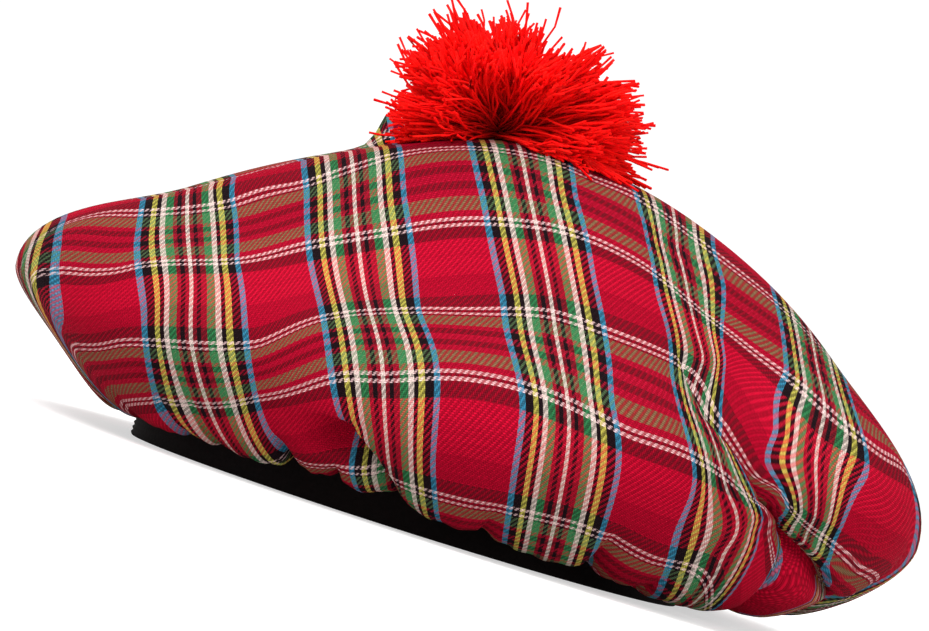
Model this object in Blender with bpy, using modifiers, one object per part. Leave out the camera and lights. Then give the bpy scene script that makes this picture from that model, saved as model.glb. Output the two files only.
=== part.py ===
"""A tam o' shanter: a wide soft crown gathered onto an elastic head band, with a yarn pompom.

Metres, +Z up. The hat stands on the lower edge of its band, at z = 0, its front towards -Y.
Azimuths are degrees anticlockwise from +X, seen from above, so the front is -90.
"""

import math
import random
from collections import namedtuple

import bmesh
import bpy
import numpy as np
from mathutils import Vector

MM = 0.001

# The head band: a loop of elastic, 525 mm round at rest, that stretches over a head of 560 mm. It lies
# left of the middle of the crown, which is the origin.
BAND_RADIUS = 83.5 * MM  # to the middle of its wall
BAND_X = -7 * MM
BAND_HEIGHT = 25 * MM
BAND_WALL = 2 * MM
BAND_EDGE = 0.4 * MM  # the rounding of the elastic's woven edges
BAND_SIDES = 48

GAP = 0.3 * MM  # between pieces that are sewn together

# The crown: half sections of the gathered cloth, out from the middle of the top and down to the band.
CLOTH = 1.2 * MM
CROWN_TOP = 117 * MM
SEAM_OUT = BAND_WALL / 2 + GAP  # the gathered edge laps the outside of the band
SEAM_Z = BAND_HEIGHT - 3 * MM
TUCK_OUT = 6 * MM  # where the cloth turns up to the band, inside its lowest line
TUCK_Z = 12 * MM
CROWN_SIDES = 120
STEPS_PER_SPAN = (2, 3, 4, 5, 3, 2)  # rings from one named point of a section to the next
MIDDLE, SHOULDER, SLOPE, RIM, LIP, TUCK, SEAM = range(7)
SPAN_PULL = (1, 1, 1, 0.75, 1, 1)  # how strongly each span keeps to the directions at its ends

Section = namedtuple("Section", "azimuth shoulder_r shoulder_z slope_r slope_z rim_r rim_z lip_r lip_z")
SECTIONS = (
    Section(0, 45, 111, 99, 83.5, 140, 37.5, 110, 6.5),
    Section(45, 45, 110, 97, 81, 134, 39, 107, 8),
    Section(90, 45, 108, 94, 75, 127, 37, 105, 8),
    Section(135, 45, 108.5, 97, 77, 135, 36, 103, 8),
    Section(180, 42, 105, 98, 74.5, 140, 37, 97, 6.5),
    Section(225, 43, 104.5, 93, 70, 130, 34, 105, 8),
    Section(270, 45, 105, 89, 67, 127, 34, 108, 9),
    Section(315, 45, 107, 94, 77, 134, 38, 110, 8),
)

# A crease pushes the cloth in along a radial line. top, deepest and end say where on the section it begins,
# is deepest and has gone, counted in the named points above. lean is how far round its top has turned.
Fold = namedtuple("Fold", "azimuth lean depth width top deepest end")
FOLDS = (
    Fold(-172, 0, 5, 4.5, 2.8, LIP, SEAM),
    Fold(-150, 0, 8, 4.0, 2.7, LIP, SEAM),
    Fold(-133, 4, 5, 4.0, 2.9, LIP, SEAM),
    Fold(-117, 0, 9, 3.8, 2.6, LIP, SEAM),
    Fold(-104, 0, 8, 3.6, 2.8, LIP, SEAM),
    Fold(-92, 0, 9, 3.8, 2.6, LIP, SEAM),
    Fold(-78, 5, 8, 3.8, 2.7, LIP, SEAM),
    Fold(-61, 0, 7, 4.0, 2.8, LIP, SEAM),
    Fold(-34, -19, 11, 5.0, 1.9, LIP, SEAM),
    Fold(-11, -8, 7, 4.5, 2.4, LIP, SEAM),
    Fold(9, 6, 6, 4.0, 2.7, LIP, SEAM),
    Fold(30, 10, 9, 4.8, 2.2, LIP, SEAM),
    Fold(48, 0, 6, 4.0, 2.8, LIP, SEAM),
    Fold(67, -8, 9, 4.8, 2.1, LIP, SEAM),
    Fold(86, 0, 6, 4.0, 2.8, LIP, SEAM),
    Fold(104, 6, 9, 4.6, 2.3, LIP, SEAM),
    Fold(123, 0, 6, 4.0, 2.8, LIP, SEAM),
    Fold(144, -9, 9, 4.8, 2.2, LIP, SEAM),
    Fold(166, 0, 6, 4.2, 2.7, LIP, SEAM),
    Fold(173, 0, 5, 9.0, 0.6, SLOPE, RIM),
)

# The pompom: a tied heart, spread over the crown below, and the locks of yarn that stand out from it.
POMPOM_X = -10 * MM
POMPOM_Y = -5 * MM
HEART_HALF_X = 30 * MM
HEART_HALF_Y = 28 * MM
HEART_WAIST = 10 * MM  # its widest level, over the crown
HEART_ABOVE = 19 * MM  # from its widest level up
HEART_BELOW = 16 * MM  # and down, as far as the crown lets it
SEAT = 0.5 * MM  # how clear of the crown it lies, because flat faces dip between their corners
LOCK_LENGTH = 10 * MM
LOCK_LENGTH_SPREAD = 0.3
LOCK_TIP = 0.45  # the width of a lock's tip over its root's
LOCK_TOSS = 3 * MM  # how far a tip may stray sideways
UNDERSIDE = -0.7  # faces of the heart that look further down than this hold no lock

TARTAN_RED = (0.58, 0.015, 0.035, 1)
ELASTIC_BLACK = (0.012, 0.012, 0.013, 1)
YARN_RED = (0.85, 0.008, 0.006, 1)


def clear_scene():
    for obj in list(bpy.data.objects):
        bpy.data.objects.remove(obj, do_unlink=True)


def make_material(name, colour, roughness):
    material = bpy.data.materials.new(name)
    material.use_nodes = True
    shader = material.node_tree.nodes["Principled BSDF"]
    shader.inputs["Base Color"].default_value = colour
    shader.inputs["Roughness"].default_value = roughness
    shader.inputs["Metallic"].default_value = 0
    return material


def add_object(name, bm, material, collection):
    """The finished bmesh as one named, smooth-shaded object."""
    bmesh.ops.recalc_face_normals(bm, faces=bm.faces)
    mesh = bpy.data.meshes.new(name)
    bm.to_mesh(mesh)
    bm.free()
    mesh.shade_smooth()
    mesh.materials.append(material)
    obj = bpy.data.objects.new(name, mesh)
    collection.objects.link(obj)
    return obj


def smooth_step(x):
    x = np.clip(x, 0, 1)
    return x * x * (3 - 2 * x)


def hermite(before, after, tangent_before, tangent_after, x):
    """The cubic from one point to the next, x from 0 to 1, with these tangents at its ends."""
    return (
        (2 * x**3 - 3 * x**2 + 1) * before
        + (x**3 - 2 * x**2 + x) * tangent_before
        + (3 * x**2 - 2 * x**3) * after
        + (x**3 - x**2) * tangent_after
    )


def section_at(azimuth):
    """The sizes of the crown's half section at any azimuth, smoothly between the rows of SECTIONS."""
    rows = np.array(SECTIONS)[:, 1:]
    step = 360 / len(rows)
    place = (azimuth % 360) / step
    i = int(place)
    before, here, after, beyond = (rows[(i + k) % len(rows)] for k in (-1, 0, 1, 2))
    return hermite(here, after, (after - before) / 2, (beyond - here) / 2, place - i)


def beyond_band(azimuth, out):
    """How far from the axis a circle lies that is this far outside the band's middle line."""
    turn = math.radians(azimuth)
    across = BAND_X * math.sin(turn)
    return BAND_X * math.cos(turn) + math.sqrt((BAND_RADIUS + out) ** 2 - across**2)


def section_points(azimuth):
    """The named points of a half section, MIDDLE to SEAM, as (distance from the axis, height)."""
    shoulder_r, shoulder_z, slope_r, slope_z, rim_r, rim_z, lip_r, lip_z = section_at(azimuth) * MM
    return np.array(
        [
            (0, CROWN_TOP),
            (shoulder_r, shoulder_z),
            (slope_r, slope_z),
            (rim_r, rim_z),
            (lip_r, lip_z),
            (beyond_band(azimuth, TUCK_OUT), TUCK_Z),
            (beyond_band(azimuth, SEAM_OUT), SEAM_Z),
        ]
    )


def section_directions(chords):
    """The way the cloth runs at each named point: level at the middle, upright at the rim and the seam."""
    directions = np.zeros((len(chords) + 1, 2))
    for i in range(SHOULDER, SEAM):
        halfway = chords[i - 1] + chords[i]
        directions[i] = halfway / np.linalg.norm(halfway)
    directions[MIDDLE] = (1, 0)
    directions[RIM] = (0, -1)
    directions[SEAM] = (0, 1)
    return directions


def section_point(azimuth, station):
    """The smooth section's point at a station, such as 2.5 halfway from SLOPE to RIM, and its outward normal."""
    points = section_points(azimuth)
    lengths = np.linalg.norm(np.diff(points, axis=0), axis=1)
    directions = section_directions(np.diff(points, axis=0) / lengths[:, None])
    i = min(int(station), SEAM - 1)
    pull = lengths[i] * SPAN_PULL[i]
    ends = points[i], points[i + 1], directions[i] * pull, directions[i + 1] * pull
    here = hermite(*ends, station - i)
    along = hermite(*ends, station - i + 0.01) - hermite(*ends, station - i - 0.01)
    normal = np.array((-along[1], along[0])) / np.linalg.norm(along)
    return here, normal


def fold_depth(azimuth, station):
    """How far the creases push the cloth in, at this azimuth and station."""
    depth = 0.0
    for fold in FOLDS:
        begun = smooth_step((station - fold.top) / (fold.deepest - fold.top))
        left = 1 - smooth_step((station - fold.deepest) / (fold.end - fold.deepest))
        turned = fold.lean * np.clip((fold.deepest - station) / (fold.deepest - fold.top), 0, 1)
        away = (azimuth - fold.azimuth - turned + 180) % 360 - 180
        depth += fold.depth * MM * begun * left * math.exp(-((away / fold.width) ** 2))
    return depth


def crown_point(azimuth, station):
    """A point of the crown's outer face."""
    (r, z), normal = section_point(azimuth, station)
    r, z = np.array((r, z)) - fold_depth(azimuth, station) * normal
    turn = math.radians(azimuth)
    return Vector((r * math.cos(turn), r * math.sin(turn), z))


def crown_stations():
    stations = []
    for span, steps in enumerate(STEPS_PER_SPAN):
        stations += [span + (k + 1) / steps for k in range(steps)]
    return stations


def make_crown(material, collection):
    """Rings of the outer face bridged one to the next, then given the cloth's thickness inwards."""
    bm = bmesh.new()
    ring_before = None
    for station in crown_stations():
        ring = bmesh.ops.create_circle(
            bm, segments=CROWN_SIDES, radius=BAND_RADIUS, cap_ends=ring_before is None, cap_tris=True
        )["verts"]
        for vertex in ring:
            if vertex.co.length < MM:  # the middle of the cap
                vertex.co = (0, 0, CROWN_TOP)
            else:
                vertex.co = crown_point(math.degrees(math.atan2(vertex.co.y, vertex.co.x)), station)
        edges = {edge for vertex in ring for edge in vertex.link_edges}
        edges = [edge for edge in edges if all(end.co.xy.length > MM for end in edge.verts)]
        if ring_before is not None:
            bmesh.ops.bridge_loops(bm, edges=ring_before + edges)
        ring_before = edges
    crown = add_object("crown", bm, material, collection)
    wall = crown.modifiers.new("cloth", "SOLIDIFY")
    wall.thickness = CLOTH
    wall.offset = -1
    return crown


def make_head_band(material, collection):
    """A strip's rounded cross-section, turned round the axis."""
    outer = BAND_RADIUS + BAND_WALL / 2
    inner = BAND_RADIUS - BAND_WALL / 2
    top, bottom = BAND_HEIGHT, 0
    profile = (
        (outer - BAND_EDGE, top),
        (outer, top - BAND_EDGE),
        (outer, bottom + BAND_EDGE),
        (outer - BAND_EDGE, bottom),
        (inner + BAND_EDGE, bottom),
        (inner, bottom + BAND_EDGE),
        (inner, top - BAND_EDGE),
        (inner + BAND_EDGE, top),
    )
    mesh = bpy.data.meshes.new("head_band")
    edges = [(i, (i + 1) % len(profile)) for i in range(len(profile))]
    mesh.from_pydata([(r, 0, z) for r, z in profile], edges, [])
    mesh.materials.append(material)
    band = bpy.data.objects.new("head_band", mesh)
    band.location.x = BAND_X
    collection.objects.link(band)
    turn = band.modifiers.new("turn", "SCREW")
    turn.steps = turn.render_steps = BAND_SIDES
    turn.use_smooth_shade = True
    return band


def crown_height(x, y):
    """The height of the crown's outer face under a point inside its rim."""
    azimuth = math.degrees(math.atan2(y, x))
    inner, outer = MIDDLE, RIM
    for _ in range(16):
        station = (inner + outer) / 2
        if crown_point(azimuth, station).xy.length < math.hypot(x, y):
            inner = station
        else:
            outer = station
    return crown_point(azimuth, station).z


def lay_on_crown(vertex):
    """Lifts a point that lies in the crown or too near to it."""
    if vertex.co.z < CROWN_TOP + SEAT:
        vertex.co.z = max(vertex.co.z, crown_height(vertex.co.x, vertex.co.y) + SEAT)


def make_pompom(material, collection):
    """A ball pressed onto the crown, each face that looks up or out drawn into a tapering lock."""
    dice = random.Random(5)
    waist = Vector((POMPOM_X, POMPOM_Y, crown_height(POMPOM_X, POMPOM_Y) + HEART_WAIST))
    bm = bmesh.new()
    bmesh.ops.create_icosphere(bm, subdivisions=3, radius=1)
    bearing = [face for face in bm.faces if face.normal.z > UNDERSIDE]
    for vertex in bm.verts:
        half_z = HEART_ABOVE if vertex.co.z > 0 else HEART_BELOW
        vertex.co = waist + vertex.co * Vector((HEART_HALF_X, HEART_HALF_Y, half_z))
        lay_on_crown(vertex)
    for tip in bmesh.ops.extrude_discrete_faces(bm, faces=bearing)["faces"]:
        middle = tip.calc_center_median()
        length = LOCK_LENGTH * (1 + LOCK_LENGTH_SPREAD * dice.uniform(-1, 1))
        toss = Vector([dice.uniform(-1, 1) * LOCK_TOSS for _ in range(3)])
        reach = (middle - waist).normalized() * length + toss
        for vertex in tip.verts:
            vertex.co = middle + (vertex.co - middle) * LOCK_TIP + reach
            lay_on_crown(vertex)
    return add_object("pompom", bm, material, collection)


def main():
    clear_scene()
    hat = bpy.data.collections.new("tam_o_shanter")
    bpy.context.scene.collection.children.link(hat)
    make_crown(make_material("tartan cloth", TARTAN_RED, 0.85), hat)
    make_head_band(make_material("black elastic", ELASTIC_BLACK, 0.75), hat)
    make_pompom(make_material("red yarn", YARN_RED, 0.9), hat)


main()
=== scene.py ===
# %% [markdown]
# # A soft tartan cap with a yarn pompom
# The cap is one large round piece of check cloth. Its edge is gathered all round and sewn to a narrow
# ring of black elastic, so that the cloth bulges over the elastic in puffs with creases between them.
# A tuft of red yarn sits on top. The lesson loads the measured model as a fixed frame, and then dresses
# each of its three solids: the crown as a thin sheet that carries the weave, the elastic with its ribs,
# and the pompom as single yarns.

# %% Load the measured model
import math

import bpy
import numpy as np
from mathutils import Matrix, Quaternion, Vector
from mathutils.bvhtree import BVHTree
from mathutils.interpolate import poly_3d_calc


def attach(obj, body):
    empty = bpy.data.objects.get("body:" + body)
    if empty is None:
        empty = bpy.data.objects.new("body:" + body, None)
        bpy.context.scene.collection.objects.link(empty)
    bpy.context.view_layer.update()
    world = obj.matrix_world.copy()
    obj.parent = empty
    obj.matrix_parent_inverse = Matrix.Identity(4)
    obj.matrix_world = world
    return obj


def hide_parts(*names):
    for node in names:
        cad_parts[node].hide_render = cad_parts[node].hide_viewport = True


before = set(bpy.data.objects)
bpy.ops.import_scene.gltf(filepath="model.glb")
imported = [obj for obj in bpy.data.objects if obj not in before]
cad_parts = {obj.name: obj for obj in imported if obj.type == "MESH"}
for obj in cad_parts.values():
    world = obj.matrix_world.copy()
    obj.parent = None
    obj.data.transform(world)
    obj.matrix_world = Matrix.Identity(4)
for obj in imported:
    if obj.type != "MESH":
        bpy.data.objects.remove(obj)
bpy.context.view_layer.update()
MM = 0.001
print("solids to dress:", sorted(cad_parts))


def deselect_all():
    bpy.ops.object.select_all(action="DESELECT")


def select_edges(piece, wanted):
    """Go into edit mode with just the edges selected whose two ends pass the test."""
    bpy.ops.object.mode_set(mode="EDIT")
    bpy.ops.mesh.select_mode(type="EDGE")
    bpy.ops.mesh.select_all(action="DESELECT")
    bpy.ops.object.mode_set(mode="OBJECT")
    for edge in piece.data.edges:
        edge.select = wanted(*(piece.data.vertices[v].co for v in edge.vertices))
    bpy.ops.object.mode_set(mode="EDIT")


# %% [markdown]
# ## The camera
# The cap was seen from just above the table and from far away, so its sides hardly converge. A long
# lens does that. The cap looks tipped to the right because the camera is rolled about its own view
# line: the cap itself stands level on its elastic.

# %% Place the camera
EYE = Vector((-7.94, -1200, 46)) * MM
LOOKS_AT = Vector((-7.94, 0, 62.8)) * MM
ROLL = math.radians(17.6)
SENSOR_WIDTH = 36
LENS = 157.2
NEAREST = 0.05

bpy.ops.object.camera_add(location=EYE)
camera = bpy.context.object
camera.name = "camera"
camera.rotation_mode = "QUATERNION"
level = (LOOKS_AT - EYE).to_track_quat("-Z", "Y")
camera.rotation_quaternion = level @ Quaternion((0, 0, 1), ROLL)
camera.data.sensor_fit = "HORIZONTAL"
camera.data.sensor_width = SENSOR_WIDTH
camera.data.lens = LENS
camera.data.clip_start = NEAREST
bpy.context.scene.camera = camera
print("camera", round((LOOKS_AT - EYE).length, 3), "m from the cap")

# %% [markdown]
# ## The table and the light
# A pale sheet of card lies under the cap and curves up behind it, so no edge of it shows. It is a plane
# whose far edge is extruded upwards, with a wide bevel along the bend. The card glows a little, as a
# studio's lit table does, so it shows pure white. It throws less of that glow up at the cap, or the
# undersides of the puffs would look flat. Large area lights stand in for soft boxes: one above and in
# front, a weak one low on each side, and one above and behind. The pale world fills the shadows.

# %% Floor that curves up into a backdrop
FLOOR_HALF = 3.0
BACKDROP_HEIGHT = 3.0
COVE = 1.2
COVE_SEGMENTS = 24

deselect_all()
bpy.ops.mesh.primitive_plane_add(size=2 * FLOOR_HALF)
backdrop = bpy.context.object
backdrop.name = "backdrop"
select_edges(backdrop, lambda a, b: a.y > 0 and b.y > 0)
bpy.ops.mesh.extrude_region_move(TRANSFORM_OT_translate={"value": (0, 0, BACKDROP_HEIGHT)})
select_edges(backdrop, lambda a, b: a.y > 0 and b.y > 0 and max(a.z, b.z) < BACKDROP_HEIGHT / 2)
bpy.ops.mesh.bevel(offset=COVE, segments=COVE_SEGMENTS, affect="EDGES")
bpy.ops.object.mode_set(mode="OBJECT")
bpy.ops.object.shade_smooth()
print("backdrop faces", len(backdrop.data.polygons))

# %% Material of the pale card
CARD_GREY = 0.6
CARD_ROUGHNESS = 0.9
GLOW_SEEN = 0.56
GLOW_THROWN = 0.1

card = bpy.data.materials.new("pale card")
card.use_nodes = True
card_nodes, card_links = card.node_tree.nodes, card.node_tree.links
card_shader = card_nodes["Principled BSDF"]
card_shader.inputs["Base Color"].default_value = (CARD_GREY, CARD_GREY, CARD_GREY, 1)
card_shader.inputs["Roughness"].default_value = CARD_ROUGHNESS
card_shader.inputs["Emission Color"].default_value = (1, 1, 1, 1)
ray = card_nodes.new("ShaderNodeLightPath")
glow = card_nodes.new("ShaderNodeMapRange")
glow.inputs["To Min"].default_value = GLOW_THROWN
glow.inputs["To Max"].default_value = GLOW_SEEN
card_links.new(glow.inputs["Value"], ray.outputs["Is Camera Ray"])
card_links.new(card_shader.inputs["Emission Strength"], glow.outputs["Result"])
backdrop.data.materials.append(card)
print("card glows", GLOW_SEEN, "where it is seen")

# %% Soft boxes and the pale world
AIM = Vector((0, 0, 0.06))
WORLD_STRENGTH = 0.55

# name, place, size in metres, watts
SOFT_BOXES = (
    ("key", (-0.7, -1.0, 1.3), 0.7, 28),
    ("fill", (1.3, -1.0, 0.5), 0.9, 12),
    ("left fill", (-1.4, -0.9, 0.5), 0.9, 5),
    ("top", (0.1, 0.5, 1.6), 1.2, 16),
)

for name, place, size, watts in SOFT_BOXES:
    bpy.ops.object.light_add(type="AREA", location=place)
    light = bpy.context.object
    light.name = name
    light.data.size = size
    light.data.energy = watts
    light.rotation_mode = "QUATERNION"
    light.rotation_quaternion = (AIM - Vector(place)).to_track_quat("-Z", "Y")

world = bpy.data.worlds.new("pale room")
world.use_nodes = True
world.node_tree.nodes["Background"].inputs["Color"].default_value = (1, 1, 1, 1)
world.node_tree.nodes["Background"].inputs["Strength"].default_value = WORLD_STRENGTH
bpy.context.scene.world = world
bpy.context.scene.view_settings.view_transform = "Standard"

# %% [markdown]
# ## The crown's form
# A cap like this has no hard lines: seen in half section, the cloth runs level from the middle, slopes
# down to the rim, rolls under it to the lowest point of the puffs, and tucks in and up to the seam on
# the elastic. So the form is given as half sections at eight azimuths. Seven stations run along each,
# from the middle, 0, to the seam, 6. The table places four of them, and the middle, the tuck and the
# seam follow from the cap's height and the elastic. Smooth cubics join the stations, both along a
# section and round the cap. Sizes are in millimetres, azimuth 0 is +X and azimuth 270 faces the camera.

# %% Half sections of the crown
BAND_RADIUS = 83.5
BAND_X = -7.0
BAND_HEIGHT = 25.0
BAND_WALL = 2.0
SEAM_GAP = 0.3
CLOTH = 1.2
CROWN_TOP = 117.0
TUCK_OUT = 6.0
TUCK_Z = 12.0
SEAM_OUT = BAND_WALL / 2 + SEAM_GAP
SEAM_BELOW_EDGE = 3
SEAM_Z = BAND_HEIGHT - SEAM_BELOW_EDGE
MIDDLE, SHOULDER, SLOPE, RIM, LIP, TUCK, SEAM = range(7)
SPAN_PULL = (1, 1, 1, 0.75, 1, 1)  # how strongly each span between stations keeps its ends' directions
NEAR = 0.01  # a short way along a section, for the direction there

# azimuth, then distance from the axis and height of: shoulder, slope, rim, lip
SECTIONS = np.array((
    (0, 45, 111, 99, 83.5, 140, 37.5, 110, 6.5),
    (45, 45, 110, 97, 81, 134, 39, 107, 8),
    (90, 45, 108, 94, 75, 127, 37, 105, 8),
    (135, 45, 108.5, 97, 77, 135, 36, 103, 8),
    (180, 42, 105, 98, 74.5, 140, 37, 96, 5.5),
    (225, 43, 106, 93, 70, 130, 34, 103, 6),
    (270, 45, 107.5, 89, 67, 127, 34, 107, 6.5),
    (315, 45, 108, 94, 77, 134, 38, 109, 3.5),
))
print("half sections", len(SECTIONS))

# %% From the half sections to points of the cloth


def smooth_step(x):
    """Rises smoothly from 0 to 1 as x does."""
    x = np.clip(x, 0, 1)
    return x * x * (3 - 2 * x)


def hermite(before, after, tangent_before, tangent_after, x):
    """The cubic from one point to the next, x from 0 to 1, with these tangents at its ends."""
    return (
        (2 * x**3 - 3 * x**2 + 1) * before
        + (x**3 - 2 * x**2 + x) * tangent_before
        + (3 * x**2 - 2 * x**3) * after
        + (x**3 - x**2) * tangent_after
    )


def sizes_at(azimuth):
    """The sizes of the half section at each azimuth, smoothly between the rows of SECTIONS."""
    rows = SECTIONS[:, 1:]
    place = (azimuth % 360) / 360 * len(rows)
    row = place.astype(int)
    before, here, after, beyond = (rows[(row + k) % len(rows)] for k in (-1, 0, 1, 2))
    part = (place - row)[:, None]
    return hermite(here, after, (after - before) / 2, (beyond - here) / 2, part)


def beyond_band(azimuth, out):
    """How far from the axis a circle lies that is this far outside the elastic's middle line."""
    turn = np.radians(azimuth)
    across = BAND_X * np.sin(turn)
    return BAND_X * np.cos(turn) + np.sqrt((BAND_RADIUS + out) ** 2 - across**2)


def named_points(azimuth):
    """(distance from the axis, height) of the stations MIDDLE to SEAM, at each azimuth."""
    sizes = sizes_at(azimuth)
    level = np.ones(len(azimuth))
    columns = [
        (0 * level, CROWN_TOP * level),
        *((sizes[:, k], sizes[:, k + 1]) for k in (0, 2, 4, 6)),
        (beyond_band(azimuth, TUCK_OUT), TUCK_Z * level),
        (beyond_band(azimuth, SEAM_OUT), SEAM_Z * level),
    ]
    return np.stack([np.stack(column, -1) for column in columns], 1)


def smooth_form(azimuth, stations):
    """Points of the cloth without its creases, and the normals there: (azimuths, stations, 3) each."""
    points = named_points(azimuth)
    chords = np.diff(points, axis=1)
    lengths = np.linalg.norm(chords, axis=2)
    ways = chords / lengths[..., None]
    runs = np.zeros_like(points)
    for k in range(SHOULDER, SEAM):
        halfway = ways[:, k - 1] + ways[:, k]
        runs[:, k] = halfway / np.linalg.norm(halfway, axis=1)[:, None]
    runs[:, MIDDLE] = (1, 0)
    runs[:, RIM] = (0, -1)
    runs[:, SEAM] = (0, 1)
    flat_points, flat_normals = [], []
    for station in stations:
        k = min(int(station), SEAM - 1)
        pull = (lengths[:, k] * SPAN_PULL[k])[:, None]
        ends = points[:, k], points[:, k + 1], runs[:, k] * pull, runs[:, k + 1] * pull
        along = hermite(*ends, station - k + NEAR) - hermite(*ends, station - k - NEAR)
        normal = np.stack([-along[:, 1], along[:, 0]], -1)
        flat_points.append(hermite(*ends, station - k))
        flat_normals.append(normal / np.linalg.norm(normal, axis=1)[:, None])
    turn = np.radians(azimuth)[:, None]

    def turned(section):
        r, z = np.moveaxis(np.stack(section, 1), -1, 0)
        return np.stack([r * np.cos(turn), r * np.sin(turn), z], -1)

    return turned(flat_points), turned(flat_normals)


probe, _ = smooth_form(np.array([0.0, 90, 180, 270]), [RIM])
print("rim at four azimuths, mm:", probe[:, 0].round(1).tolist())

# %% [markdown]
# ## The creases
# Where gathered cloth is drawn in, it stands in round puffs with a sharp crease between each two. A
# puff rolls over its crease, so one side of the crease is steep and overhangs, and the other is a long
# shallow one. So each crease is a row of a table: where it is, which way it leans as it climbs, how
# deep and how wide it is, and how far the cloth beside it rolls over it. A second table holds the soft
# dents and swellings. Fine pleats at the seam are the stitches' own gathers, and a few wide shallow
# waves keep the top from looking turned on a lathe.

# %% Tables of the creases and hollows
# the edges of the two large puffs on the right, as (azimuth, station)
LEFT_PUFF_EDGE = ((-55, 1.7), (-56, 2.1), (-57, 2.5), (-50, 3.0), (-42, 3.3), (-40, 3.5), (-37, 3.85))
RIGHT_PUFF_EDGE = ((-47, 3.12), (-43, 3.24), (-38, 3.31), (-32, 3.4), (-26, 3.52), (-14, 3.63))
# the line that a crease follows as (azimuth, station) from its start to its end, the station from which
# it is fully deep, depth, width in degrees, and roll: how many degrees the puff beside it rolls over
# it, + towards a larger azimuth
CREASES = (
    (((-178, 3.3), (-178, 4.0)), 4.0, 2.0, 3.5, 0),
    (((-160, 3.4), (-160, 4.0)), 4.0, 1.5, 3.0, 1),
    (((-146, 3.4), (-147, 4.0)), 4.0, 2.0, 2.6, -1),
    (((-136, 3.2), (-134, 4.0)), 4.0, 2.5, 2.4, 1),
    (((-129, 3.2), (-127, 4.0)), 4.0, 2.5, 2.0, 1),
    (((-114, 3.3), (-114, 4.0)), 4.0, 6.0, 2.8, 1.5),
    (((-105, 3.65), (-105, 4.0)), 4.0, 5.0, 2.4, -1),
    (((-107, 3.3), (-103, 3.4), (-99, 3.55), (-96, 3.75), (-94, 4.0)), 3.42, 9.0, 3.2, -3.0),
    (((-82, 3.5), (-82, 4.0)), 4.0, 3.0, 2.0, 1),
    (((-67, 3.3), (-66, 4.0)), 4.0, 6.0, 2.8, 1.5),
    (((-57, 3.5), (-56, 4.0)), 4.0, 2.0, 2.4, -1),
    (LEFT_PUFF_EDGE, 2.7, 9.0, 5.0, 4.0),
    (RIGHT_PUFF_EDGE, 3.3, 8.0, 5.5, -4.0),
    (((-17, 2.6), (-9, 4.0)), 4.0, 5.0, 4.2, 2),
    (((15, 2.7), (9, 4.0)), 4.0, 6.0, 4.0, 2),
    (((40, 2.2), (30, 4.0)), 4.0, 9.0, 4.8, -3),
    (((48, 2.8), (48, 4.0)), 4.0, 6.0, 4.0, 2),
    (((59, 2.1), (67, 4.0)), 4.0, 9.0, 4.8, 3),
    (((86, 2.8), (86, 4.0)), 4.0, 6.0, 4.0, -2),
    (((110, 2.3), (104, 4.0)), 4.0, 9.0, 4.6, 3),
    (((123, 2.8), (123, 4.0)), 4.0, 6.0, 4.0, 2),
    (((135, 2.2), (144, 4.0)), 4.0, 9.0, 4.8, 3),
    (((166, 2.7), (166, 4.0)), 4.0, 6.0, 4.2, 2),
)
# soft hollows and, with a depth below zero, swellings: azimuth and station of the middle, half width
# in degrees, half height in stations, depth
HOLLOWS = (
    (-105, 3.5, 4.5, 0.15, 8.0),
    (-153, 2.15, 14.0, 0.62, -5.0),
    (-170, 1.85, 9.0, 0.3, 6.0),
    (160, 1.8, 12.0, 0.5, -1.5),
    (167, 0.98, 12.0, 0.16, -4.0),
    (167, 1.05, 8.0, 0.06, -6.5),
    (-50, 2.2, 9.0, 0.7, 2.0),
    (178, 3.5, 24.0, 0.38, 7.5),
)
print("creases", len(CREASES), "hollows and swellings", len(HOLLOWS))

# %% How far they push the cloth in
CREASE_CORE = 0.18  # how round the bottom of a crease is, as a share of its width
STEEP_SIDE = 1.9
SHALLOW_SIDE = 1.1
EVEN_SIDE = 1.5


def degrees_past(azimuth, other):
    """How many degrees an azimuth lies beyond another, from -180 to 180."""
    return (azimuth - other + 180) % 360 - 180


def creased(azimuth, stations):
    """How far the cloth is pushed in (mm) and rolled sideways (degrees) at each azimuth and station."""
    depth = np.zeros(np.broadcast(azimuth, stations).shape)
    rolled = np.zeros_like(depth)
    for line, deep_from, deep, width, roll in CREASES:
        around, up = zip(*line)
        path = np.interp(stations, up, around)
        strength = smooth_step((stations - up[0]) / (deep_from - up[0]))
        strength = strength * (1 - smooth_step((stations - up[-1]) / (SEAM - up[-1])))
        away = degrees_past(azimuth, path) / width
        side = np.where(away * roll <= 0, STEEP_SIDE, SHALLOW_SIDE) if roll else EVEN_SIDE
        softened = np.sqrt(away**2 + CREASE_CORE**2) - CREASE_CORE
        depth += deep * strength * np.exp(-side * softened)
        if roll:
            behind = np.clip(-away * np.sign(roll), 0, None)
            rolled += roll * strength * behind * np.exp(1 - behind)
    for at, station, half_width, half_height, deep in HOLLOWS:
        across = degrees_past(azimuth, at) / half_width
        depth += deep * np.exp(-(across**2) - ((stations - station) / half_height) ** 2)
    return depth, rolled


push, _ = creased(np.array([[-107.0], [-50.0]]), np.array([SLOPE, LIP]))
print("pushed in at two places, mm:", push.round(1).tolist())

# %% Pleats and waves
PLEATS = 112
PLEAT_DEPTH = 0.9
PLEAT_SWINGS = (3, 5, 8, 13)  # times round the cap that the pleats' spacing widens and narrows
PLEAT_SWING = 1.6
PLEATS_FROM, PLEATS_RUN = 3.6, 1.6  # station where the pleats start, and stations to their full depth
WAVE_DEPTH = 0.7
WAVE_COUNTS = (3, 4, 5, 7, 9, 11)
WAVE_LEAN = 0.8
WAVE_LENGTHS = (1.5, 3)
WAVES_FULL_AT = 1.5
WAVES_UNTIL, WAVES_RUN = 3.4, 0.8  # station where the waves start to fade, and stations to their end


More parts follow.
